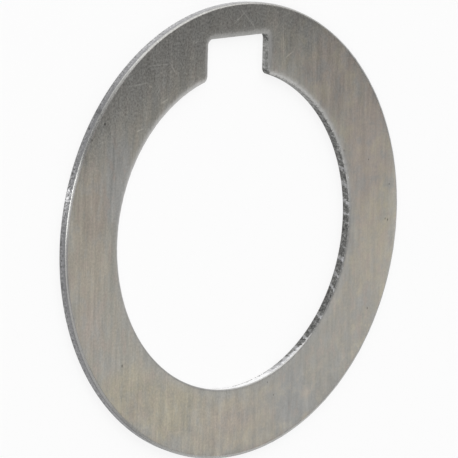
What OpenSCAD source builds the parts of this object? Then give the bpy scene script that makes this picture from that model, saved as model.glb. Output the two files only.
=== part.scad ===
/* [Ring] */
// Outside diameter of the ring
outer_d = 46; // [44:0.5:60]
// Diameter of the bore, which slides onto an arbor
bore_d = 32; // [25:0.5:34]
// Thickness of the steel sheet
sheet_t = 1; // [0.5:0.1:3]

/* [Keyway] */
// Width of the keyway, between its two parallel sides
key_w = 8.3; // [6:0.05:10]
// Depth of the keyway, from the bore out to its floor
key_d = 3.6; // [3:0.05:4.2]
// Radius in the two inner corners of the keyway
key_corner_r = 0.6; // [0.3:0.1:1.5]
// Radius on the two corners where the keyway opens into the bore
mouth_r = 0.7; // [0.4:0.1:1.5]

/* [Edges] */
// Radius that the punch rolls onto every edge of the front face
edge_roll = 0.2; // [0.1:0.05:0.3]
// Width of the small break on every edge of the back face
back_break = 0.05; // [0.02:0.01:0.1]

/* [Hidden] */
$fn = 144;
// How far a cutting shape runs past the faces of the sheet
over = 0.5;
// How far cutting shapes that meet run into each other
lap = 0.1;
outer_r = outer_d / 2;
bore_r = bore_d / 2;
ring_w = outer_r - bore_r;
key_side_x = key_w / 2;
key_floor_y = bore_r + key_d;
// Centre of the radius in an inner corner of the keyway
corner_x = key_side_x - key_corner_r;
corner_y = key_floor_y - key_corner_r;
// How far the radius at the mouth stands out of the bore and the keyway's side, to cross them cleanly
proud = 0.005;
// Centre of the radius at the mouth
mouth_x = key_side_x + mouth_r - proud;
mouth_y = sqrt(pow(bore_r + mouth_r - proud, 2) - pow(mouth_x, 2));

// Section of the sheet, w wide, from its cut wall at x = 0: rolled in front, broken behind
module sheet_section(w) {
    difference() {
        square([w, sheet_t]);
        difference() {
            translate([-over, sheet_t - edge_roll]) square([over + edge_roll, over + edge_roll]);
            translate([edge_roll, sheet_t - edge_roll]) circle(edge_roll);
        }
        polygon([[-over, -over], [back_break + over, -over], [-over, back_break + over]]);
    }
}

// Section of the gap beside a cut wall that stands w from the start of the gap
module gap_section(w) {
    difference() {
        translate([0, -over]) square([w + edge_roll, sheet_t + 2 * over]);
        translate([w, 0]) sheet_section(edge_roll + over);
    }
}

// The plain ring, cut inside and out
module blank() {
    rotate_extrude() intersection() {
        translate([bore_r, 0]) sheet_section(outer_r);
        translate([outer_r, 0]) mirror([1, 0]) sheet_section(outer_r);
    }
}

// The open middle of the keyway, and its straight-sided mouth from the bore
module keyway_middle() {
    half_w = corner_x + lap;
    top_y = corner_y + lap;
    translate([0, 0, -over]) linear_extrude(sheet_t + 2 * over) polygon([
        [0, 0], [mouth_x, mouth_y], [half_w, mouth_y], [half_w, top_y],
        [-half_w, top_y], [-half_w, mouth_y], [-mouth_x, mouth_y],
    ]);
}

// The cut along half of the keyway: its side, its inner corner and half of its floor
module keyway_edge() {
    side_l = corner_y - mouth_y + lap;
    floor_l = corner_x + lap;
    translate([corner_x, corner_y, 0]) {
        rotate([90, 0, 0]) linear_extrude(side_l) gap_section(key_corner_r);
        rotate_extrude(angle = 90) gap_section(key_corner_r);
        translate([-floor_l, 0, 0]) rotate([90, 0, 90]) linear_extrude(floor_l)
            gap_section(key_corner_r);
    }
}

// The round corner of metal that stands where the keyway's side meets the bore
module mouth_corner() {
    translate([mouth_x, mouth_y, 0]) rotate_extrude()
        intersection() {
            translate([mouth_r, 0]) mirror([1, 0]) sheet_section(ring_w);
            square([mouth_r, sheet_t]);
        }
}

module spacer_ring() {
    color("darkgray") {
        difference() {
            blank();
            keyway_middle();
            for (side = [0, 1]) mirror([side, 0, 0]) keyway_edge();
        }
        for (side = [0, 1]) mirror([side, 0, 0]) mouth_corner();
    }
}

spacer_ring();
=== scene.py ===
import math

import bpy
from bpy.props import FloatProperty, FloatVectorProperty, IntProperty, PointerProperty
from mathutils import Matrix, Vector


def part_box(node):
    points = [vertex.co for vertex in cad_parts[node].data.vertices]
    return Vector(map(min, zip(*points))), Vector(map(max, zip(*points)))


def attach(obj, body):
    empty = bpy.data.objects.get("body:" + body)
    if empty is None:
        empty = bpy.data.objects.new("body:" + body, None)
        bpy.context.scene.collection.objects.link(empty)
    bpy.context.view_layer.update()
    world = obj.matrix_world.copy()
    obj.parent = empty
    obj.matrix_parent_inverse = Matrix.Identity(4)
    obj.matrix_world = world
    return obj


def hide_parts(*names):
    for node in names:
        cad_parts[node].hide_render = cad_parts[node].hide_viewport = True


bl_info = {
    "name": "Spacer ring",
    "version": (1, 0, 0),
    "blender": (4, 5, 0),
    "location": "View3D > Sidebar > Spacer ring",
    "description": "A flat keyed spacer ring of brushed steel, with its studio",
    "category": "Add Mesh",
}

NODE = "spacer_ring"
MM = 0.001
# Stretches of facets that follow each other round the ring's section
STRETCHES = 8
# Facets fill this share of the way from the mouth's edge to the centre of its corner
MOUTH_ROOM = 0.92
# Corners of facets closer than this become one, which closes the sheet
SAME_PLACE = 0.0002 * MM
# Height of the finest relief on the faces
FINE_RELIEF = 0.004 * MM

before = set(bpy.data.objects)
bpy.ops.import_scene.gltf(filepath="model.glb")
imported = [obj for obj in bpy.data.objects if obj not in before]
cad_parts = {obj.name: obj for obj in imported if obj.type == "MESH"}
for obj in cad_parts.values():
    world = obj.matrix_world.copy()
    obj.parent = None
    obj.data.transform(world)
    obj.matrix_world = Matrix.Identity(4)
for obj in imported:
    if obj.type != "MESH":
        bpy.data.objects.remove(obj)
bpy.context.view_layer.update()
RING_LOW, RING_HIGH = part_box(NODE)


# Sums written on node sockets

class Wire:
    """The output of a node, on which plain sums can be written."""

    def __init__(self, tree, socket):
        self.tree = tree
        self.socket = socket

    def __add__(self, other):
        return calc(self.tree, "ADD", self, other)

    def __radd__(self, other):
        return calc(self.tree, "ADD", other, self)

    def __sub__(self, other):
        return calc(self.tree, "SUBTRACT", self, other)

    def __rsub__(self, other):
        return calc(self.tree, "SUBTRACT", other, self)

    def __mul__(self, other):
        return calc(self.tree, "MULTIPLY", self, other)

    def __rmul__(self, other):
        return calc(self.tree, "MULTIPLY", other, self)

    def __truediv__(self, other):
        return calc(self.tree, "DIVIDE", self, other)


def feed(tree, socket, value):
    """Gives a socket its value: a link from a wire, or a plain number or colour."""
    if isinstance(value, Wire):
        tree.links.new(value.socket, socket)
    elif value is not None:
        socket.default_value = value


def calc(tree, operation, *values, clamp=False):
    """One sum on numbers."""
    node = tree.nodes.new("ShaderNodeMath")
    node.operation = operation
    node.use_clamp = clamp
    for socket, value in zip(node.inputs, values):
        feed(tree, socket, value)
    return Wire(tree, node.outputs[0])


def vector_calc(tree, operation, *values):
    """One sum on vectors. A scale takes its factor as the second value."""
    node = tree.nodes.new("ShaderNodeVectorMath")
    node.operation = operation
    if operation == "SCALE":
        feed(tree, node.inputs[0], values[0])
        feed(tree, node.inputs["Scale"], values[1])
    else:
        for socket, value in zip(node.inputs, values):
            feed(tree, socket, value)
    out = "Value" if operation in {"LENGTH", "DISTANCE", "DOT_PRODUCT"} else "Vector"
    return Wire(tree, node.outputs[out])


def vector(tree, x, y, z=0.0):
    """A vector from three numbers."""
    node = tree.nodes.new("ShaderNodeCombineXYZ")
    for socket, value in zip(node.inputs, (x, y, z)):
        feed(tree, socket, value)
    return Wire(tree, node.outputs[0])


def parts(tree, value):
    """The three numbers of a vector."""
    node = tree.nodes.new("ShaderNodeSeparateXYZ")
    feed(tree, node.inputs[0], value)
    return [Wire(tree, socket) for socket in node.outputs]


def ramp(tree, value, low, high, start=0.0, end=1.0, kind="SMOOTHSTEP"):
    """Start where the value is low, end where it is high, and a smooth run between."""
    node = tree.nodes.new("ShaderNodeMapRange")
    node.interpolation_type = kind
    for socket, number in zip(node.inputs, (value, low, high, start, end)):
        feed(tree, socket, number)
    return Wire(tree, node.outputs[0])


def fall(tree, value, low, high, kind="SMOOTHSTEP"):
    """1 where the value is low, 0 where it is high, and a smooth run between."""
    return ramp(tree, value, low, high, 1.0, 0.0, kind)


def between(first, second, share):
    """The first number where the share is 0, the second where it is 1, and a mixture between."""
    return first * (1.0 - share) + second * share


def strongest(tree, marks):
    """The greatest of several marks at each place."""
    total, *others = marks
    for mark in others:
        total = calc(tree, "MAXIMUM", total, mark)
    return total


def noise(tree, place, scale, detail=2.0, roughness=0.5):
    """Noise from 0 to 1 about 0.5, at a number of cells to the unit of place."""
    node = tree.nodes.new("ShaderNodeTexNoise")
    feed(tree, node.inputs["Vector"], place)
    feed(tree, node.inputs["Scale"], scale)
    feed(tree, node.inputs["Detail"], detail)
    feed(tree, node.inputs["Roughness"], roughness)
    return Wire(tree, node.outputs["Fac"])


def uneven_lengths(tree, along, length):
    """Distance to the nearest end of uneven lengths that are laid off along a line."""
    node = tree.nodes.new("ShaderNodeTexVoronoi")
    node.voronoi_dimensions = "1D"
    node.feature = "DISTANCE_TO_EDGE"
    feed(tree, node.inputs["W"], along)
    feed(tree, node.inputs["Scale"], 1.0 / length)
    return Wire(tree, node.outputs["Distance"]) * length


def blend(tree, share, first, second, kind="MIX"):
    """One colour laid over another."""
    node = tree.nodes.new("ShaderNodeMix")
    node.data_type = "RGBA"
    node.blend_type = kind
    # The node has a pair of inputs for each kind of value, and the colours are 6 and 7
    feed(tree, node.inputs[0], share)
    feed(tree, node.inputs[6], first)
    feed(tree, node.inputs[7], second)
    return Wire(tree, node.outputs[2])


def way_between(tree, first, second, share):
    """The first vector where the share is 0, the second where it is 1, and a mixture between."""
    node = tree.nodes.new("ShaderNodeMix")
    node.data_type = "VECTOR"
    # The node's pair of vectors is 4 and 5
    feed(tree, node.inputs[0], share)
    feed(tree, node.inputs[4], first)
    feed(tree, node.inputs[5], second)
    return Wire(tree, node.outputs[1])


# The ring's settings

def tone(name, description, value):
    """A colour of the steel or the floor."""
    return FloatVectorProperty(name=name, description=description, default=value, subtype="COLOR",
                               size=3, min=0.0, max=1.0)


def distance(name, description, value):
    """A length, in metres."""
    return FloatProperty(name=name, description=description, default=value, subtype="DISTANCE",
                         unit="LENGTH", min=0.0, precision=5)


def angle(name, description, degrees):
    """An angle, which Blender keeps in radians."""
    return FloatProperty(name=name, description=description, default=math.radians(degrees),
                         subtype="ANGLE", unit="ROTATION")


class RingSettings(bpy.types.PropertyGroup):
    """Sizes of the ring, in metres, and how finely and unevenly it is made."""

    outer_radius: distance("Outside radius", "From the axis to the rim", RING_HIGH.x)
    thickness: distance("Thickness", "Thickness of the sheet", RING_HIGH.z - RING_LOW.z)
    bore_radius: distance("Bore radius", "From the axis to the wall of the bore", 16 * MM)
    keyway_width: distance("Keyway width", "Between the two parallel sides of the keyway", 8.3 * MM)
    keyway_depth: distance("Keyway depth", "From the bore out to the floor of the keyway", 3.6 * MM)
    corner_radius: distance("Inner corner radius", "In the two inner corners of the keyway", 0.6 * MM)
    mouth_radius: distance("Mouth radius", "On the two corners where the keyway meets the bore", 0.7 * MM)
    rim_roll_depth: distance("Rim roll depth", "How far down the rim its front edge is rolled", 0.20 * MM)
    rim_roll_width: distance("Rim roll width", "How far in from the rim its front edge is rolled", 0.42 * MM)
    gap_roll_depth: distance("Gap roll depth", "How far down the bore and keyway their front edge is rolled",
                             0.15 * MM)
    gap_roll_width: distance("Gap roll width",
                             "How far in from the bore and keyway their front edge is rolled", 0.75 * MM)
    back_break: distance("Back break", "Radius of the break on the edges of the back face", 0.05 * MM)
    wall_taper: distance("Wall taper", "How far the torn part of a cut wall slopes in", 0.05 * MM)
    wall_relief: distance("Wall relief", "Height of the torn grain on a cut wall", 0.03 * MM)
    edge_waver: FloatProperty(name="Edge waver", description="How unevenly the rolled edges run",
                              default=0.7, min=0.0, max=1.0, subtype="FACTOR")
    seed: IntProperty(name="Seed", description="Sets where the edges and walls are uneven",
                      default=3, min=0)
    columns: IntProperty(name="Columns", description="Facets along the outline",
                         default=1440, min=64, max=3000)
    rows: IntProperty(name="Rows", description="Facets along each stretch of the section",
                      default=6, min=2, max=16)


class SteelSettings(bpy.types.PropertyGroup):
    """Colours of the steel."""

    face_tone: tone("Face", "The plain brushed faces", (0.50, 0.482, 0.43))
    # The worn tone is also painted shade: it darkens the top-left of the front face along with its
    # scratches.
    wear_and_shade_tone: tone("Worn", "The scratched part of the front face, round the keyway", (0.307, 0.303, 0.290))
    warm_tone: tone("Warm", "Warm tint in the brushed faces", (0.54, 0.49, 0.41))
    gold_tone: tone("Gold", "Yellowish stains", (0.55, 0.505, 0.395))
    rose_tone: tone("Rose", "Reddish stains", (0.54, 0.47, 0.42))
    cool_tone: tone("Cool", "Bluish tint, as beside the bore", (0.482, 0.481, 0.468))
    dull_tone: tone("Dull", "Darker stains", (0.375, 0.373, 0.363))
    pale_tone: tone("Pale", "Lighter patches", (0.575, 0.552, 0.490))
    roll_tone: tone("Rolled edge", "The rolled edges", (0.50, 0.495, 0.48))
    drawn_tone: tone("Drawn wall", "The smooth part of the walls of the bore and keyway", (0.70, 0.70, 0.71))
    drawn_rim_tone: tone("Drawn rim", "The smooth part of the rim's wall", (0.23, 0.23, 0.235))
    torn_tone: tone("Torn wall", "The torn part of the walls of the bore and keyway", (0.165, 0.165, 0.16))
    torn_rim_tone: tone("Torn rim", "The torn part of the rim's wall", (0.30, 0.30, 0.305))


class StageSettings(bpy.types.PropertyGroup):
    """Camera, floor and light."""

    camera_azimuth: angle("Camera azimuth", "Direction to the camera, from +X towards +Y", 166.537)
    camera_elevation: angle("Camera elevation", "Height of the camera above the horizon", 45.184)
    camera_roll: angle("Camera roll", "Turn of the camera about its line of sight", 100.93)
    camera_distance: distance("Camera distance", "From the camera to the point that it looks at", 0.8983)
    camera_aim: FloatVectorProperty(name="Camera aim", description="The point that the camera looks at",
                                    default=(-0.4085 * MM, 0.1867 * MM, 0.5620 * MM), subtype="XYZ",
                                    size=3, precision=6)
    lens: FloatProperty(name="Lens", description="Focal length in millimetres", default=707.42, min=1.0,
                        unit="CAMERA")
    floor_tone: tone("Floor", "Colour of the floor", (0.9, 0.9, 0.9))
    floor_width: distance("Floor width", "Across the floor, up to the wall that it turns up into", 3.0)
    floor_rim: distance("Floor rim", "Height of the wall round the floor", 0.45)
    floor_glow: FloatProperty(name="Floor glow",
                              description="Share of plain white in the floor that is seen",
                              default=0.8, min=0.0, max=1.0, subtype="FACTOR")
    world_level: FloatProperty(name="World level", description="Brightness of the room",
                               default=0.22, min=0.0)


# The ring

RING_INPUTS = (
    ("Outer Radius", "outer_radius"),
    ("Thickness", "thickness"),
    ("Bore Radius", "bore_radius"),
    ("Keyway Width", "keyway_width"),
    ("Keyway Depth", "keyway_depth"),
    ("Corner Radius", "corner_radius"),
    ("Mouth Radius", "mouth_radius"),
    ("Rim Roll Depth", "rim_roll_depth"),
    ("Rim Roll Width", "rim_roll_width"),
    ("Gap Roll Depth", "gap_roll_depth"),
    ("Gap Roll Width", "gap_roll_width"),
    ("Back Break", "back_break"),
    ("Wall Taper", "wall_taper"),
    ("Wall Relief", "wall_relief"),
)


def choose(tree, index, kind, values):
    """The value that stands at the index in a short list."""
    node = tree.nodes.new("GeometryNodeIndexSwitch")
    node.data_type = kind
    while len(node.index_switch_items) < len(values):
        node.index_switch_items.new()
    feed(tree, node.inputs["Index"], index)
    for k, value in enumerate(values):
        feed(tree, node.inputs[k + 1], value)
    return Wire(tree, node.outputs[0])


def gap_outline(tree, size, along):
    """Place and outward direction on the edge of the bore and keyway, and how far off the mouth's centre is.

    along runs from -1 to 1, clockwise from the bore's lowest point, with 0 at the middle of the keyway's
    floor. The mouth's centre is that of its rounded corner, and facets that passed it would fold over.
    """
    side_x = size["Keyway Width"] / 2.0
    floor_y = size["Bore Radius"] + size["Keyway Depth"]
    bore, corner, mouth = size["Bore Radius"], size["Corner Radius"], size["Mouth Radius"]
    corner_x, corner_y = side_x - corner, floor_y - corner
    mouth_x = side_x + mouth
    mouth_y = calc(tree, "SQRT", calc(tree, "POWER", bore + mouth, 2.0) - calc(tree, "POWER", mouth_x, 2.0))
    turn = calc(tree, "ARCTAN2", mouth_y, mouth_x)

    floor_end = corner_x
    corner_end = floor_end + corner * (math.pi / 2)
    side_end = corner_end + (corner_y - mouth_y)
    mouth_end = side_end + mouth * turn
    bore_end = mouth_end + bore * (turn + math.pi / 2)
    run = calc(tree, "ABSOLUTE", along) * bore_end
    stretch = sum((calc(tree, "GREATER_THAN", run, end) for end in (corner_end, side_end, mouth_end)),
                  calc(tree, "GREATER_THAN", run, floor_end))

    in_corner = math.pi / 2 - (run - floor_end) / corner
    on_mouth = math.pi + (run - side_end) / mouth
    on_bore = turn - (run - mouth_end) / bore

    def ray(angle, length):
        return calc(tree, "COSINE", angle) * length, calc(tree, "SINE", angle) * length

    out_corner, out_mouth, out_bore = ray(in_corner, 1.0), ray(on_mouth, -1.0), ray(on_bore, 1.0)
    places = (
        vector(tree, run, floor_y),
        vector(tree, corner_x + out_corner[0] * corner, corner_y + out_corner[1] * corner),
        vector(tree, side_x, corner_y - (run - corner_end)),
        vector(tree, mouth_x - out_mouth[0] * mouth, mouth_y - out_mouth[1] * mouth),
        vector(tree, out_bore[0] * bore, out_bore[1] * bore),
    )
    ways = [vector(tree, *way) for way in ((0.0, 1.0), out_corner, (1.0, 0.0), out_mouth, out_bore)]
    # The middle of the keyway's floor belongs to the half with the positive sign
    half = vector(tree, calc(tree, "SIGN", along + 1e-7), 1.0, 1.0)
    plain = choose(tree, stretch, "VECTOR", places)
    to_centre = vector_calc(tree, "DISTANCE", plain, vector(tree, mouth_x, mouth_y))
    place = vector_calc(tree, "MULTIPLY", plain, half)
    way = vector_calc(tree, "MULTIPLY", choose(tree, stretch, "VECTOR", ways), half)
    return place, way, to_centre


def rim_direction(tree, size, place, way):
    """Direction from the axis to the rim for each place on the gap's edge.

    Beside the keyway it leans outwards, so that facets cross the face instead of running along the
    keyway's sides.
    """
    start, mouth, end, most = (math.radians(degrees) for degrees in (8, 17, 50, 9))
    step = vector_calc(tree, "SCALE", way, size["Mouth Radius"] * MOUTH_ROOM)
    x, y, _ = parts(tree, vector_calc(tree, "ADD", place, step))
    turn = calc(tree, "ARCTAN2", calc(tree, "ABSOLUTE", x), y)
    lean = ramp(tree, turn, start, mouth) * fall(tree, turn, mouth, end)
    turn = turn + lean * most
    return vector(tree, calc(tree, "SIGN", x) * calc(tree, "SINE", turn), calc(tree, "COSINE", turn))


def ring_section(tree, size, stretch, part):
    """Where a row of facets lies in the ring's section: in from the wall, up, across, and on a cut wall.

    The stretches go round the section: back face, outer break, wall and roll, front face, inner roll, wall
    and break. part runs from 0 to 1 along each. The rim's roll is steeper at the wall than a plain radius.
    """
    thick, rounding = size["Thickness"], size["Back Break"]
    rim_deep, rim_wide = size["Rim Roll Depth"], size["Rim Roll Width"]
    gap_deep, gap_wide = size["Gap Roll Depth"], size["Gap Roll Width"]
    angle = part * (math.pi / 2)
    cosine, sine = calc(tree, "COSINE", angle), calc(tree, "SINE", angle)
    rim_in = calc(tree, "POWER", part, 1.2)
    rim_up = 1.0 - calc(tree, "POWER", 1.0 - rim_in, 2.1)
    rim_shoulder, gap_shoulder = thick - rim_deep, thick - gap_deep
    over = ramp(tree, part, 0.0, 1.0)

    inward = choose(tree, stretch, "FLOAT", (
        rounding, rounding * (1.0 - sine), 0.0, rim_wide * rim_in,
        between(rim_wide, gap_wide, over), gap_wide * (1.0 - sine), 0.0, rounding * (1.0 - cosine)))
    height = choose(tree, stretch, "FLOAT", (
        0.0, rounding * (1.0 - cosine), rounding + (rim_shoulder - rounding) * part,
        rim_shoulder + rim_deep * rim_up, thick, gap_shoulder + gap_deep * cosine,
        gap_shoulder - (gap_shoulder - rounding) * part, rounding * (1.0 - sine)))
    across = choose(tree, stretch, "FLOAT", (over, 1.0, 1.0, 1.0, 1.0 - over, 0.0, 0.0, 0.0))
    cut = choose(tree, stretch, "FLOAT", (0.0, part, 1.0, 1.0 - part, 0.0, part, 1.0, 1.0 - part))
    return inward, height, across, cut


def torn_part(tree, x, y, level, across, seed):
    """Where a cut wall is torn, from 0 to 1.

    x and y are in millimetres. level runs from 0 at the back to 1 in front, and across from 0 at the bore to
    1 at the rim. The tears reach highest on the side of the bore towards +X, and hardly show at its lowest
    point.
    """
    side = ramp(tree, x + y * 0.5, -0.3, 6.0)
    reach = between(0.14 + side * 1.06, 0.5, across)
    reach = reach + (noise(tree, vector(tree, x, y, seed), 1.1, 3.0, 0.6) - 0.5) * 0.6
    return fall(tree, level - reach, -0.07, 0.05)


def torn_walls(tree, size, place, height, across):
    """How far a cut wall lies in from its plain surface: its torn part's slope, its grain and its tears."""
    x, y, _ = parts(tree, vector_calc(tree, "SCALE", place, 1 / MM))
    up = height / MM
    level = height / size["Thickness"]
    torn = torn_part(tree, x, y, level, across, size["Seed"])
    slope = fall(tree, level, 0.0, 0.6, kind="LINEAR") * size["Wall Taper"]
    tears = noise(tree, vector(tree, x, y, up + size["Seed"]), 3.2, 3.0, 0.6) * torn
    drawn = noise(tree, vector(tree, x, y, up * 0.12 + size["Seed"]), 3.6, 2.0, 0.5) * 0.35
    top = 0.82 - across * 0.1
    ends = ramp(tree, level, 0.0, 0.08) * fall(tree, level - top, 0.0, 0.1)
    return slope + (tears + drawn) * size["Wall Relief"] * ends


def keep(tree, geometry, name, value):
    """Stores a number on every point of the mesh, under a name that the material reads."""
    node = tree.nodes.new("GeometryNodeStoreNamedAttribute")
    node.data_type = "FLOAT"
    node.domain = "POINT"
    feed(tree, node.inputs["Geometry"], geometry)
    feed(tree, node.inputs["Name"], name)
    feed(tree, node.inputs["Value"], value)
    return Wire(tree, node.outputs["Geometry"])


def ring_tree(settings):
    """The rule that makes the ring: a closed sheet of facets round the section and along the outline."""
    tree = bpy.data.node_groups.new("Keyed ring", "GeometryNodeTree")
    tree.interface.new_socket("Geometry", in_out="INPUT", socket_type="NodeSocketGeometry")
    for name, key in RING_INPUTS:
        socket = tree.interface.new_socket(name, in_out="INPUT", socket_type="NodeSocketFloat")
        socket.subtype = "DISTANCE"
        socket.default_value = getattr(settings, key)
    tree.interface.new_socket("Edge Waver", in_out="INPUT", socket_type="NodeSocketFloat")
    for name in ("Seed", "Columns", "Rows"):
        tree.interface.new_socket(name, in_out="INPUT", socket_type="NodeSocketInt")
    tree.interface.new_socket("Material", in_out="INPUT", socket_type="NodeSocketMaterial")
    tree.interface.new_socket("Geometry", in_out="OUTPUT", socket_type="NodeSocketGeometry")
    entry = tree.nodes.new("NodeGroupInput")
    leave = tree.nodes.new("NodeGroupOutput")
    size = {socket.name: Wire(tree, socket) for socket in entry.outputs if socket.name}

    grid = tree.nodes.new("GeometryNodeMeshGrid")
    tall = size["Rows"] * STRETCHES + 1.0
    feed(tree, grid.inputs["Vertices X"], size["Columns"] + 1.0)
    feed(tree, grid.inputs["Vertices Y"], tall)
    index = Wire(tree, tree.nodes.new("GeometryNodeInputIndex").outputs[0])
    column = calc(tree, "FLOOR", (index + 0.5) / tall)
    row = calc(tree, "ROUND", index - column * tall)
    along = column / size["Columns"] * 2.0 - 1.0
    # The small number keeps rounding from putting a row in the stretch before
    stretch = calc(tree, "FLOOR", (row + 0.001) / size["Rows"])
    part = row / size["Rows"] - stretch
    stretch = calc(tree, "FLOORED_MODULO", stretch, STRETCHES)

    place, way, to_centre = gap_outline(tree, size, along)
    room = to_centre * MOUTH_ROOM
    near_x, near_y, _ = parts(tree, vector_calc(tree, "SCALE", place, 1 / MM))
    uneven = noise(tree, vector(tree, near_x, near_y, size["Seed"]), 1.3, 3.0, 0.6) - 0.5
    waver = 1.0 + uneven * size["Edge Waver"]
    upper = ramp(tree, near_y, -10.0, 12.0)
    rolls = dict(size)
    rolls["Rim Roll Depth"] = size["Rim Roll Depth"] * calc(tree, "MINIMUM", 1.0, waver)
    rolls["Rim Roll Width"] = size["Rim Roll Width"] * ramp(tree, near_y, 11.0, 15.5, 1.0, 0.6)
    rolls["Gap Roll Depth"] = size["Gap Roll Depth"] * waver * (0.7 + upper * 0.3)
    gap_width = size["Gap Roll Width"] * waver * (0.4 + upper * 0.6)
    rolls["Gap Roll Width"] = calc(tree, "MINIMUM", gap_width, room)
    inward, height, across, cut = ring_section(tree, rolls, stretch, part)
    outward = rim_direction(tree, size, place, way)
    rim = vector_calc(tree, "SCALE", outward, size["Outer Radius"])
    wall = way_between(tree, place, rim, across)
    inward = inward + torn_walls(tree, size, wall, height, across)
    within = vector_calc(tree, "SCALE", way, calc(tree, "MINIMUM", inward, room))
    inner = vector_calc(tree, "ADD", place, within)
    outer = vector_calc(tree, "SCALE", outward, size["Outer Radius"] - inward)
    x, y, _ = parts(tree, way_between(tree, inner, outer, across))

    put = tree.nodes.new("GeometryNodeSetPosition")
    feed(tree, put.inputs["Geometry"], Wire(tree, grid.outputs["Mesh"]))
    feed(tree, put.inputs["Position"], vector(tree, x, y, height))
    made = Wire(tree, put.outputs[0])
    width = vector_calc(tree, "DISTANCE", inner, outer)
    made = keep(tree, made, "cut", cut)
    made = keep(tree, made, "from_gap", across * width + inward)
    made = keep(tree, made, "across", across)

    outward_faces = tree.nodes.new("GeometryNodeFlipFaces")
    feed(tree, outward_faces.inputs["Mesh"], made)
    close = tree.nodes.new("GeometryNodeMergeByDistance")
    tree.links.new(outward_faces.outputs[0], close.inputs["Geometry"])
    close.inputs["Distance"].default_value = SAME_PLACE
    smooth = tree.nodes.new("GeometryNodeSetShadeSmooth")
    tree.links.new(close.outputs[0], smooth.inputs["Geometry"])
    real = tree.nodes.new("GeometryNodeRealizeInstances")
    tree.links.new(smooth.outputs[0], real.inputs[0])
    paint = tree.nodes.new("GeometryNodeSetMaterial")
    tree.links.new(real.outputs[0], paint.inputs["Geometry"])
    feed(tree, paint.inputs["Material"], size["Material"])
    tree.links.new(paint.outputs[0], leave.inputs["Geometry"])
    return tree


def made_by(tree, name, values):
    """Runs a rule of nodes and returns its result as a plain mesh object."""
    seed = bpy.data.objects.new(name + "_rule", bpy.data.meshes.new(name + "_rule"))
    bpy.context.scene.collection.objects.link(seed)
    modifier = seed.modifiers.new("Rule", "NODES")
    modifier.node_group = tree
    for item in tree.interface.items_tree:
        if item.item_type == "SOCKET" and item.in_out == "INPUT" and item.name in values:
            modifier[item.identifier] = values[item.name]
    depsgraph = bpy.context.evaluated_depsgraph_get()
    mesh = bpy.data.meshes.new_from_object(seed.evaluated_get(depsgraph), preserve_all_data_layers=True,
                                           depsgraph=depsgraph)
    seed.modifiers.clear()
    bpy.data.objects.remove(seed)
    mesh.name = name
    piece = bpy.data.objects.new(name, mesh)
    bpy.context.scene.collection.objects.link(piece)
    return piece


# The steel

# Marks on the front face, in millimetres from the axis: start, end and width of each scratch
SCRATCHES = (
    ((-15.1, 15.85), (-12.3, 16.06), 0.13),
    ((-12.25, 15.7), (-11.85, 15.55), 0.16),
    ((-13.8, 11.3), (-12.8, 11.5), 0.13),
    ((-10.6, 13.8), (-9.5, 14.2), 0.15),
    ((-9.5, 17.9), (-8.5, 16.5), 0.10),
    ((-12.4, 17.7), (-9.5, 17.65), 0.08),
    ((-6.15, 19.4), (-5.5, 19.8), 0.12),
    ((-7.5, 16.7), (-7.0, 16.4), 0.12),
    ((0.2, 22.3), (2.2, 20.3), 0.12),
    ((-0.8, 20.9), (1.0, 22.2), 0.10),
    ((6.5, 16.95), (7.6, 17.5), 0.12),
    ((6.05, 20.9), (6.2, 17.0), 0.07),
)
# Light gaps in the torn wall of the bore: millimetres along the wall from its lowest point, and width
DRAWN_GAPS = (
    (30.3, 0.26),
    (28.4, 0.26),
    (26.7, 0.24),
    (25.4, 0.14),
    (20.85, 0.30),
    (19.2, 0.16),
    (17.8, 0.20),
    (14.6, 0.18),
    (11.8, 0.20),
    (10.2, 0.35),
    (8.5, 0.30),
    (6.5, 0.40),
)
# Place and radius of each pit
PITS = (
    ((-15.1, -12.05), 0.13),
    ((5.9, -17.3), 0.07),
    ((5.0, -15.9), 0.08),
    ((18.9, -9.8), 0.09),
    ((21.6, 2.7), 0.08),
    ((21.15, -0.80), 0.09),
    ((21.5, -0.95), 0.10),
    ((18.55, 5.5), 0.07),
    ((15.05, 6.75), 0.10),
    ((-18.1, 12.45), 0.16),
    ((-19.8, 11.0), 0.11),
)
# Place, half width, half height, tone and strength of each soft stain
STAINS = (
    ((-17.8, 12.5), 3.2, 4.0, "pale_tone", 0.8),
    ((-20.3, 0.5), 3.5, 6.0, "pale_tone", 0.9),
    ((21.5, 2.5), 3.2, 8.0, "pale_tone", 0.9),
    ((17.5, 7.5), 3.5, 6.0, "pale_tone", 0.4),
    ((-19.8, 1.5), 2.6, 9.0, "warm_tone", 0.8),
    ((-19.0, 4.0), 1.6, 4.0, "rose_tone", 0.35),
    ((-19.5, -7.5), 2.0, 3.0, "rose_tone", 0.4),
    ((-14.5, -15.0), 3.8, 3.0, "gold_tone", 0.75),
    ((-12.0, -16.5), 2.0, 1.6, "rose_tone", 0.5),
    ((-8.5, -17.0), 4.5, 3.4, "gold_tone", 0.8),
    ((0.5, -19.5), 6.0, 3.0, "warm_tone", 0.8),
    ((0.0, -19.3), 3.0, 1.2, "rose_tone", 0.5),
    ((13.5, 15.0), 4.0, 5.0, "rose_tone", 0.6),
    ((18.3, 6.5), 3.2, 8.0, "rose_tone", 0.75),
    ((20.6, -0.5), 0.9, 4.5, "gold_tone", 0.8),
    ((19.0, -3.0), 2.6, 5.0, "warm_tone", 0.7),
    ((8.5, -18.0), 3.0, 3.0, "cool_tone", 0.8),
    ((17.0, -9.5), 3.5, 4.5, "warm_tone", 0.4),
    ((-16.3, 6.5), 2.2, 5.5, "cool_tone", 0.8),
    ((12.5, -13.5), 12.0, 10.0, "dull_tone", 0.36),
)

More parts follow.
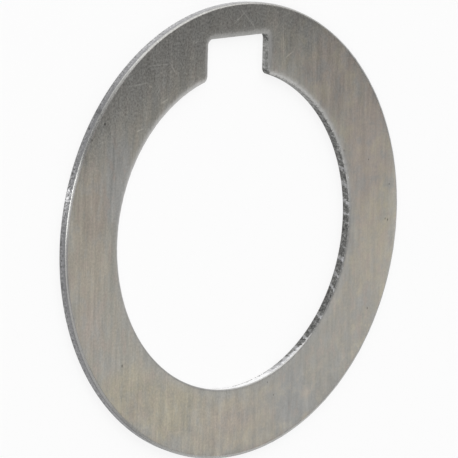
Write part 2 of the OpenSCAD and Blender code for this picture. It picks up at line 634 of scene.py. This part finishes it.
# Noises of the faces: cells to the millimetre across and along the brush lines, start, detail and roughness
FACE_NOISES = {
    "wander": (0.35, 0.35, 0.0, 3.0, 0.6),
    "streaks": (0.9, 0.09, 3.0, 3.0, 0.55),
    "clouds": (0.45, 0.3, 8.0, 4.0, 0.6),
    "tinted": (1.1, 0.55, 11.0, 3.0, 0.6),
    "blotches": (0.55, 0.5, 21.0, 4.0, 0.62),
    "lines": (2.3, 0.2, 1.0, 3.0, 0.7),
    "grain": (5.0, 4.0, 5.0, 3.0, 0.72),
}
# Fine scratches: angle in radians from the brush lines, start, and how bare the face is between them
HAIRLINES = (
    (0.5, 2.0, 0.64),
    (-0.9, 4.0, 0.65),
    (1.3, 6.0, 0.64),
)

# Single places on the walls and edges: the middle of each, in millimetres from the axis. The first two are
# painted glints on the rim.
GLINT_ON_WALL = (-22.2, 5.6)
GLINT_ON_EDGE = (-22.2, 5.3)
DULL_EDGE = (-18.5, 13.5)
DARK_SPOT = (-18.5, 13.7)
KEYWAY_DENT = (4.0, 19.35)
KEYWAY_NICK_Y = 18.2


def opaque(colour):
    """A colour as a socket takes it."""
    return (*colour, 1.0)


def away(tree, place, centre, share_x=1.0, share_y=1.0):
    """Distance of each place on the flat from one point, of which x and y may count only in part."""
    off = vector_calc(tree, "SUBTRACT", place, (*centre, 0.0))
    return vector_calc(tree, "LENGTH", vector_calc(tree, "MULTIPLY", off, (share_x, share_y, 0.0)))


def in_keyway(tree, y):
    """1 in the keyway, and 0 below its mouth."""
    return ramp(tree, y, 15.5, 16.5)


def low_on_bore(tree, x, y):
    """1 on the lower side of the bore towards +X, where its rolled edge is dull."""
    return ramp(tree, y, 4.0, -4.0) * ramp(tree, x, 3.0, 8.0) * ramp(tree, y, -13.0, -9.0)


def scratch_group():
    """How strongly a place lies on one straight scratch that fades at its ends."""
    group = bpy.data.node_groups.new("Scratch", "ShaderNodeTree")
    for name, kind in (("Place", "Vector"), ("Start", "Vector"), ("End", "Vector"), ("Width", "Float")):
        group.interface.new_socket(name, in_out="INPUT", socket_type="NodeSocket" + kind)
    group.interface.new_socket("Mark", in_out="OUTPUT", socket_type="NodeSocketFloat")
    entry, leave = group.nodes.new("NodeGroupInput"), group.nodes.new("NodeGroupOutput")
    place, start, end, width = (Wire(group, socket) for socket in entry.outputs[:4])
    run = vector_calc(group, "SUBTRACT", end, start)
    off = vector_calc(group, "SUBTRACT", place, start)
    share = vector_calc(group, "DOT_PRODUCT", off, run) / vector_calc(group, "DOT_PRODUCT", run, run)
    share = calc(group, "MINIMUM", calc(group, "MAXIMUM", share, 0.0), 1.0)
    foot = vector_calc(group, "SCALE", run, share)
    near = vector_calc(group, "LENGTH", vector_calc(group, "SUBTRACT", off, foot))
    across = fall(group, near, 0.0, width)
    fade = share * (1.0 - share) * 4.0
    feed(group, leave.inputs[0], across * calc(group, "POWER", fade, 0.4))
    return group


def scratch_marks(tree, place):
    """All the single scratches together."""
    group = scratch_group()
    marks = []
    for start, end, width in SCRATCHES:
        node = tree.nodes.new("ShaderNodeGroup")
        node.node_tree = group
        feed(tree, node.inputs["Place"], place)
        node.inputs["Start"].default_value = (*start, 0.0)
        node.inputs["End"].default_value = (*end, 0.0)
        node.inputs["Width"].default_value = width
        marks.append(Wire(tree, node.outputs[0]))
    return strongest(tree, marks)


def pit_marks(tree, place):
    """All the pits together."""
    marks = []
    for centre, radius in PITS:
        near = away(tree, place, centre, share_y=0.75)
        marks.append(fall(tree, near, radius * 0.4, radius * 1.3))
    return strongest(tree, marks)


def hairlines(tree, x, y, angle, start, sparse):
    """Short fine scratches at random, all at about one angle."""
    cosine, sine = math.cos(angle), math.sin(angle)
    fine, long = (x * cosine - y * sine) * 7.0, (x * sine + y * cosine) * 0.45
    return ramp(tree, noise(tree, vector(tree, fine, long, start), 1.0, 1.0), sparse, sparse + 0.09)


def face_finish(tree, settings, x, y, place, from_gap, front):
    """Colour, brightness and brush marks of the flat faces.

    The brush lines run along Y. Stains, wear that is also painted shade towards the top-left, and a painted
    highlight beside the keyway are on the front face only.
    """
    wander, streaks, clouds, tinted, blotches, lines, grain = (
        noise(tree, vector(tree, x * fine_x, y * fine_y, start), 1.0, detail, roughness)
        for fine_x, fine_y, start, detail, roughness in FACE_NOISES.values())

    left = calc(tree, "SMOOTH_MIN", x, 0.0, 4.0) * -0.476
    # Scratches and wear towards the top-left of the front face; its darker tone there is also painted shade.
    wear_and_shade = ramp(tree, y + left + (wander - 0.5) * 4.0, 14.5, 24.0) * front
    low = ramp(tree, y, -10.0, -17.0)
    upper = ramp(tree, x + y * 0.3, 8.0, 14.0)
    patchy = calc(tree, "MAXIMUM", upper, low * 0.6)
    calm = 1.0 - calc(tree, "MAXIMUM", upper * 0.3, ramp(tree, x - y * 0.5, 7.0, 16.0) * 0.38)

    def tint(below, strength, key):
        return blend(tree, strength, below, opaque(getattr(settings, key)))

    colour = tint(opaque(settings.face_tone), ramp(tree, streaks, 0.44, 0.62) * 0.5, "warm_tone")
    colour = tint(colour, ramp(tree, clouds, 0.48, 0.68) * 0.45, "cool_tone")
    for centre, wide, tall, key, strength in STAINS:
        reach = away(tree, place, centre, 1.0 / wide, 1.0 / tall) + (wander - 0.5) * 1.2 + (streaks - 0.5)
        colour = tint(colour, fall(tree, reach, 0.55, 1.2) * front * strength, key)
    colour = tint(colour, ramp(tree, blotches, 0.5, 0.62) * patchy * 0.5, "gold_tone")
    colour = tint(colour, ramp(tree, blotches, 0.5, 0.38) * patchy * 0.5, "cool_tone")
    colour = tint(colour, ramp(tree, tinted, 0.5, 0.66) * (0.55 - low * 0.2), "rose_tone")
    colour = tint(colour, ramp(tree, tinted, 0.5, 0.36) * (0.4 - patchy * 0.2), "cool_tone")
    colour = tint(colour, fall(tree, from_gap, 0.3, 1.2) * 0.4, "cool_tone")
    colour = tint(colour, wear_and_shade * 0.85, "wear_and_shade_tone")

    hair = sum((hairlines(tree, x, y, *values) for values in HAIRLINES), 0.0)
    hair = hair * (0.08 + wear_and_shade * 0.92)
    light = 1.0 + (lines - 0.5) * calm * (0.72 - wear_and_shade * 0.3 - low * 0.05)
    light = light + (grain - 0.5) * (calm * 0.7 + wear_and_shade * 1.25)
    light = light + (clouds - 0.5) * (0.16 + low * 0.1) + (streaks - 0.5) * 0.12
    light = light + (blotches - 0.5) * (upper * 0.32 + low * 0.5)
    # Painted highlight on the front face beside the keyway's side towards +X
    keyway_side_highlight = fall(tree, from_gap, 0.8, 2.4) * ramp(tree, x, 3.9, 4.5) * ramp(tree, y, 12.5, 14.5)
    light = light + keyway_side_highlight * 0.12 * front
    return colour, light, lines, grain, hair


def drawn_gaps(tree, x, y, z, ring):
    """The narrow light gaps in the tears, across the whole wall: single ones, and faint ones all round."""
    along = calc(tree, "ARCTAN2", x, y * -1.0) * (ring.bore_radius / MM) + z * 0.35
    along = along + (noise(tree, vector(tree, x, y, z * 0.7), 2.4, 2.0) - 0.5) * 0.8
    gaps = [fall(tree, uneven_lengths(tree, along + ring.seed, 1.1), 0.02, 0.16) * 0.25]
    for middle, width in DRAWN_GAPS:
        off = calc(tree, "ABSOLUTE", along - middle)
        gaps.append(fall(tree, off, width * 0.3, width))
    return strongest(tree, gaps)


def wall_spots(tree, x, y, across, keyway, mottle):
    """How much single spots lighten or darken the walls: a painted glint and a dark spot on the rim, and a
    dent and a nick in the keyway.
    """
    place = vector(tree, x, y)
    off = away(tree, place, GLINT_ON_WALL)
    painted_glint = fall(tree, off, 0.2, 1.3) * 0.8 + fall(tree, off, 1.5, 4.0) * 0.35
    painted_glint = painted_glint * ramp(tree, mottle, 0.42, 0.6) * across
    dark = fall(tree, away(tree, place, DARK_SPOT), 0.1, 0.4) * across
    dent = fall(tree, away(tree, place, KEYWAY_DENT), 0.3, 0.8) * ramp(tree, mottle, 0.6, 0.45) * keyway
    nick = calc(tree, "ABSOLUTE", y - KEYWAY_NICK_Y)
    nick = fall(tree, nick, 0.03, 0.14) * ramp(tree, x, 3.0, 4.0) * keyway
    return painted_glint * 1.4 - (dent + dark * 0.4) * 0.9 + nick * 0.6


def wall_finish(tree, settings, x, y, z, across, ring):
    """Colour and brightness of the cut walls: drawn and light in front and in gaps, torn and dark behind,
    with painted light and shade on stretches of the bore, at the top of the rim and on spots.

    side grows along the wall of the bore from its lowest point, round the side towards +X and up to the
    keyway.
    """
    bore = 1.0 - across
    keyway = ramp(tree, y, 15.9, 16.6) * bore
    side = x + y * 0.5
    mottle = noise(tree, vector(tree, x, y, z * 0.8 + ring.seed), 4.2, 4.0, 0.75)
    lines = noise(tree, vector(tree, x, y, z * 0.06), 5.0, 3.0, 0.6)
    dashes = noise(tree, vector(tree, x * 1.6, y * 1.6, z * 4.5), 1.0, 2.0, 0.6)
    ragged = z / (ring.thickness / MM) + (mottle - 0.5) * (1.2 - across)
    gap = drawn_gaps(tree, x, y, z, ring) * bore
    torn = torn_part(tree, x, y, ragged, across, ring.seed) * (1.0 - gap * 0.85)
    drawn = 1.0 - torn
    dark = blend(tree, across, opaque(settings.torn_tone), opaque(settings.torn_rim_tone))
    pale = blend(tree, across, opaque(settings.drawn_tone), opaque(settings.drawn_rim_tone))
    colour = blend(tree, torn, pale, dark)

    light = 1.0 + (mottle - 0.5) * (0.4 + torn * (3.6 - across * 1.7 - keyway * 1.6) + across * 1.2)
    light = light + (lines - 0.5) * (0.3 + torn * 0.5)
    light = light + ramp(tree, mottle, 0.54, 0.64) * torn * bore * (1.0 - keyway) * 0.55
    light = light - ramp(tree, dashes, 0.48, 0.6) * drawn * bore * 0.35
    # Painted light: the torn part of the bore's wall is lightened on a stretch low towards +X and on one
    # high beside the keyway
    below = ramp(tree, side, -4.5, -1.5) * fall(tree, side, 0.0, 5.0)
    above = ramp(tree, y, 10.5, 12.5) * fall(tree, y, 14.6, 15.4)
    light = light + (below + above) * torn * bore * 0.6
    # Painted highlight on the smooth part of the bore's wall, strongest at its lowest point and on its side
    # towards -X, fading out round towards +X
    painted_highlight = fall(tree, side, 1.0, 6.0) * (0.18 + (lines - 0.5) * 1.4)
    painted_highlight = painted_highlight + fall(tree, side, -4.0, 0.0) * 0.5
    light = light + painted_highlight * drawn * bore
    # Painted shade on the lower smooth part of the bore's wall on its side towards +X, and on the light gaps
    # further round
    painted_shade = ramp(tree, side, -3.0, 0.0) * fall(tree, ragged, 0.5, 0.8) * drawn * bore
    painted_shade = calc(tree, "MAXIMUM", painted_shade, gap * ramp(tree, side, 3.0, 8.0) * 0.75)
    light = light * (1.0 - painted_shade * 0.45)
    # Painted highlight on the rim's wall towards its top
    rim_top_highlight = ramp(tree, y, 14.0, 21.5) * across
    spots = wall_spots(tree, x, y, across, keyway, mottle)
    light = light * (1.0 + keyway * torn * 0.75 + rim_top_highlight * 0.8 + spots)
    bites = ramp(tree, side, 2.0, 6.0) * (1.0 - keyway) * bore
    return colour, light, torn, mottle, lines, bites


def painted_edge_light(tree, x, y, across):
    """Brightness of the rolled edges.

    They carry a painted highlight on one stretch of the rim and towards its top, and are darker round one
    place on the rim.
    They are duller in the keyway and low on the bore, with painted shade on the keyway's side towards +X.
    """
    place = vector(tree, x, y)
    painted_glint = fall(tree, away(tree, place, GLINT_ON_EDGE), 2.4, 5.0)
    dull = fall(tree, away(tree, place, DULL_EDGE), 4.0, 8.0)
    # Painted highlight on the rim's rolled edge round one stretch and towards its top, and darker round one
    # place
    rim = 0.73 + painted_glint * 0.36 - dull * 0.24 + ramp(tree, y, 18.5, 22.5) * 0.3
    # Painted shade on the keyway's rolled edge on its side towards +X, less on its side towards -X
    sides = ramp(tree, x, 4.1, 4.5) * 0.1 - ramp(tree, x, -4.1, -4.4) * 0.1
    gap = 1.0 - low_on_bore(tree, x, y) * 0.35 - in_keyway(tree, y) * (0.16 + sides)
    return between(gap, rim, across)


def brushed_steel(settings, ring):
    """Brushed steel sheet with cut walls."""
    material = bpy.data.materials.new("Brushed steel")
    material.use_nodes = True
    tree = material.node_tree
    tree.nodes.clear()
    out = tree.nodes.new("ShaderNodeOutputMaterial")
    shader = tree.nodes.new("ShaderNodeBsdfPrincipled")
    tree.links.new(shader.outputs["BSDF"], out.inputs["Surface"])

    point = Wire(tree, tree.nodes.new("ShaderNodeTexCoord").outputs["Object"])
    x, y, z = parts(tree, vector_calc(tree, "SCALE", point, 1 / MM))
    place = vector(tree, x, y)

    def stored(name):
        node = tree.nodes.new("ShaderNodeAttribute")
        node.attribute_name = name
        return Wire(tree, node.outputs["Fac"])

    cut, across, from_gap = stored("cut"), stored("across"), stored("from_gap") / MM
    bore = 1.0 - across
    edge = ramp(tree, cut, 0.1, 0.5)
    front = ramp(tree, z, ring.thickness / MM * 0.5, ring.thickness / MM * 0.9)

    face_colour, face_light, lines, grain, hair = face_finish(tree, settings, x, y, place, from_gap, front)
    wall_colour, wall_light, torn, mottle, wall_lines, bites = wall_finish(
        tree, settings, x, y, z, across, ring)
    bites = bites * fall(tree, from_gap - (mottle - 0.5) * 1.5, 0.0, 0.1) * front
    wall = calc(tree, "MAXIMUM", ramp(tree, cut, 0.75, 1.0), bites)
    scratch = scratch_marks(tree, place) * front
    pit = pit_marks(tree, place) * front

    marks = calc(tree, "MINIMUM", hair * 0.85 + scratch * 1.3, 1.3)
    face_light = face_light + marks * 0.3 - pit * 0.5
    edge_light = (0.6 + face_light * 0.4) * painted_edge_light(tree, x, y, across)
    light = between(between(face_light, edge_light, edge), wall_light, wall)
    # Painted shade on the steep part of the keyway's side towards +X
    steep = ramp(tree, cut, 0.5, 0.75) * fall(tree, cut, 0.97, 1.0) * bore
    light = light * (1.0 - steep * in_keyway(tree, y) * ramp(tree, x, 3.9, 4.2) * 0.3)
    colour = blend(tree, edge, face_colour, opaque(settings.roll_tone))
    colour = blend(tree, wall, colour, wall_colour)
    feed(tree, shader.inputs["Base Color"],
         blend(tree, 1.0, colour, vector(tree, light, light, light), kind="MULTIPLY"))

    shader.inputs["Metallic"].default_value = 1.0
    rough_face = 0.40 + (lines - 0.5) * 0.15 + (grain - 0.5) * 0.1
    matt = (low_on_bore(tree, x, y) * 0.25 + in_keyway(tree, y) * 0.14) * bore
    rough_edge = 0.38 - across * 0.12 + matt
    rough_wall = 0.3 + torn * 0.3
    rough = between(between(rough_face, rough_edge, edge), rough_wall, wall)
    feed(tree, shader.inputs["Roughness"], rough)
    shader.inputs["Anisotropic"].default_value = 0.5

    # The gloss spreads across the brush lines: along X on the faces, and level round the walls
    facing = Wire(tree, tree.nodes.new("ShaderNodeNewGeometry").outputs["Normal"])
    level_way = vector_calc(tree, "CROSS_PRODUCT", (0.0, 0.0, 1.0), facing)
    spread = way_between(tree, (1.0, 0.0, 0.0), level_way, wall)
    feed(tree, shader.inputs["Tangent"], vector_calc(tree, "NORMALIZE", spread))

    face_relief = lines * 0.6 + grain * 0.5 - hair * 0.25 - scratch * 0.5 - pit * 1.5
    wall_relief = mottle * torn * 6.0 + wall_lines * 1.5
    bump = tree.nodes.new("ShaderNodeBump")
    bump.inputs["Strength"].default_value = 1.0
    bump.inputs["Distance"].default_value = FINE_RELIEF
    feed(tree, bump.inputs["Height"], between(face_relief, wall_relief, wall))
    tree.links.new(bump.outputs[0], shader.inputs["Normal"])
    return material


class MakeRing(bpy.types.Operator):
    """Make the ring itself: brushed faces, rolled front edges and cut walls"""

    bl_idname = "spacer_ring.make_ring"
    bl_label = "Make ring"

    def execute(self, context):
        settings = context.scene.ring_settings
        values = {name: getattr(settings, key) for name, key in RING_INPUTS}
        values["Edge Waver"], values["Seed"] = settings.edge_waver, settings.seed
        values["Columns"], values["Rows"] = settings.columns, settings.rows
        values["Material"] = brushed_steel(context.scene.steel_settings, settings)
        ring = made_by(ring_tree(settings), "keyed_ring", values)
        if not ring.data.polygons:
            raise RuntimeError("the ring came out empty")
        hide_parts(NODE)
        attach(ring, "root")
        return {"FINISHED"}


# The stage

# Soft boxes: name, azimuth and elevation in degrees, distance, width and height in metres, and brightness
LAMPS = (
    ("window", 68, 40, 0.6, 0.7, 0.6, 1.15),
    ("door", 118, 30, 0.6, 0.5, 0.4, 1.2),
    ("back", 168, 41, 0.6, 0.35, 0.33, 2.6),
    ("ceiling", 166, 80, 0.9, 0.9, 0.9, 0.35),
    ("skylight", 55, 62, 0.9, 0.5, 0.5, 0.3),
    ("side", 312, 18, 0.6, 0.6, 0.3, 0.5),
    ("corner", 305, 36, 0.6, 0.46, 0.36, 0.35),
    ("fill", 242, 46, 0.6, 0.62, 0.5, 0.7),
)


def direction(azimuth, elevation):
    """The way from the ring, at an angle from +X towards +Y and one above the horizon, in radians."""
    return Vector((math.cos(azimuth) * math.cos(elevation), math.sin(azimuth) * math.cos(elevation),
                   math.sin(elevation)))


def lamp(name, azimuth, elevation, reach, width, height, level, turn=0.0, slide=0.0):
    """A soft box that faces the ring, by its direction, distance, size and the brightness of its face.

    turn turns the box about its own line of sight, in degrees, and slide then moves it along its width.
    """
    data = bpy.data.lights.new(name, "AREA")
    data.shape = "RECTANGLE"
    data.size, data.size_y = width, height
    data.energy = level * math.pi * width * height
    box = bpy.data.objects.new(name, data)
    back = direction(math.radians(azimuth), math.radians(elevation))
    facing = back.to_track_quat("Z", "Y").to_matrix() @ Matrix.Rotation(math.radians(turn), 3, "Z")
    box.matrix_world = Matrix.Translation(back * reach + facing.col[0] * slide) @ facing.to_4x4()
    box.visible_camera = False
    bpy.context.scene.collection.objects.link(box)


class MakeStage(bpy.types.Operator):
    """Set the floor, the room, the lamps and the camera"""

    bl_idname = "spacer_ring.make_stage"
    bl_label = "Make stage"

    def execute(self, context):
        scene = context.scene
        settings = scene.stage_settings
        self.make_floor(settings)
        self.make_room(scene, settings)
        self.make_lamps()
        self.make_camera(scene, settings)
        scene.view_settings.view_transform = "Standard"
        return {"FINISHED"}

    def make_floor(self, settings):
        """A round floor that curves up into a low wall and keeps the ring's shadow."""
        count, steps = 96, 12
        half, cove = settings.floor_width / 2, settings.floor_rim * 0.6
        section = [(half, 0.0)]
        for k in range(1, steps + 1):
            turn = math.pi / 2 * k / steps
            section.append((half + cove * math.sin(turn), cove * (1.0 - math.cos(turn))))
        section.append((half + cove, settings.floor_rim))
        points = [(0.0, 0.0, 0.0)]
        for reach, height in section:
            for k in range(count):
                turn = 2 * math.pi * k / count
                points.append((reach * math.cos(turn), reach * math.sin(turn), height))
        faces = [(0, k + 1, (k + 1) % count + 1) for k in range(count)]
        for row in range(len(section) - 1):
            start = 1 + row * count
            for k in range(count):
                after = (k + 1) % count
                faces.append((start + k, start + count + k, start + count + after, start + after))
        mesh = bpy.data.meshes.new("floor")
        mesh.from_pydata(points, [], faces)
        mesh.polygons.foreach_set("use_smooth", [True] * len(faces))
        mesh.materials.append(self.floor_material(settings))
        floor = bpy.data.objects.new("floor", mesh)
        bpy.context.scene.collection.objects.link(floor)

    def floor_material(self, settings):
        """Matt and pale, with plain white mixed in where the camera or the steel sees it."""
        material = bpy.data.materials.new("Pale floor")
        material.use_nodes = True
        tree = material.node_tree
        tree.nodes.clear()
        out = tree.nodes.new("ShaderNodeOutputMaterial")
        matte = tree.nodes.new("ShaderNodeBsdfDiffuse")
        matte.inputs["Color"].default_value = opaque(settings.floor_tone)
        glow = tree.nodes.new("ShaderNodeEmission")
        mix = tree.nodes.new("ShaderNodeMixShader")
        path = tree.nodes.new("ShaderNodeLightPath")
        kinds = ("Is Camera Ray", "Is Glossy Ray", "Is Transmission Ray")
        seen = strongest(tree, [Wire(tree, path.outputs[kind]) for kind in kinds])
        feed(tree, mix.inputs[0], seen * settings.floor_glow)
        tree.links.new(matte.outputs[0], mix.inputs[1])
        tree.links.new(glow.outputs[0], mix.inputs[2])
        tree.links.new(mix.outputs[0], out.inputs["Surface"])
        return material

    def make_room(self, scene, settings):
        """An even pale room all round."""
        world = bpy.data.worlds.new("Room")
        scene.world = world
        world.use_nodes = True
        tree = world.node_tree
        tree.nodes.clear()
        out = tree.nodes.new("ShaderNodeOutputWorld")
        room = tree.nodes.new("ShaderNodeBackground")
        room.inputs["Color"].default_value = (1.0, 1.0, 1.0, 1.0)
        room.inputs["Strength"].default_value = settings.world_level
        tree.links.new(room.outputs[0], out.inputs["Surface"])

    def make_lamps(self):
        """The soft boxes, and the narrow one that the face of the ring reflects to the camera."""
        for values in LAMPS:
            lamp(*values)
        lamp("panel", -13.46, 45.2, 0.13, 0.036, 0.17, 0.645, turn=23.6, slide=-0.015)

    def make_camera(self, scene, settings):
        """The camera, turned so that the keyway points up."""
        back = direction(settings.camera_azimuth, settings.camera_elevation)
        level = Vector((0, 0, 1)).cross(back).normalized()
        above = back.cross(level)
        right = level * math.cos(settings.camera_roll) + above * math.sin(settings.camera_roll)
        up = back.cross(right)
        data = bpy.data.cameras.new("camera")
        data.lens = settings.lens
        data.sensor_width = 36
        data.clip_start, data.clip_end = 0.01, 20.0
        camera = bpy.data.objects.new("camera", data)
        place = Vector(settings.camera_aim) + back * settings.camera_distance
        turn = Matrix((right, up, back)).transposed()
        camera.matrix_world = Matrix.Translation(place) @ turn.to_4x4()
        scene.collection.objects.link(camera)
        scene.camera = camera


class SpacerRingPanel(bpy.types.Panel):
    """Lists the settings of the ring and its stage"""

    bl_idname = "VIEW3D_PT_spacer_ring"
    bl_label = "Spacer ring"
    bl_space_type = "VIEW_3D"
    bl_region_type = "UI"
    bl_category = "Spacer ring"

    def draw(self, context):
        scene = context.scene
        for title, group in (("Ring", scene.ring_settings), ("Steel", scene.steel_settings),
                             ("Stage", scene.stage_settings)):
            box = self.layout.box()
            box.label(text=title)
            for key in group.bl_rna.properties.keys():
                if key not in {"rna_type", "name"}:
                    box.prop(group, key)
        self.layout.operator(MakeRing.bl_idname)
        self.layout.operator(MakeStage.bl_idname)


CLASSES = (RingSettings, SteelSettings, StageSettings, MakeRing, MakeStage, SpacerRingPanel)


def register():
    for cls in CLASSES:
        bpy.utils.register_class(cls)
    bpy.types.Scene.ring_settings = PointerProperty(type=RingSettings)
    bpy.types.Scene.steel_settings = PointerProperty(type=SteelSettings)
    bpy.types.Scene.stage_settings = PointerProperty(type=StageSettings)


def unregister():
    del bpy.types.Scene.stage_settings
    del bpy.types.Scene.steel_settings
    del bpy.types.Scene.ring_settings
    for cls in reversed(CLASSES):
        bpy.utils.unregister_class(cls)


def main():
    register()
    bpy.ops.spacer_ring.make_ring()
    bpy.ops.spacer_ring.make_stage()


if __name__ == "__main__":
    main()
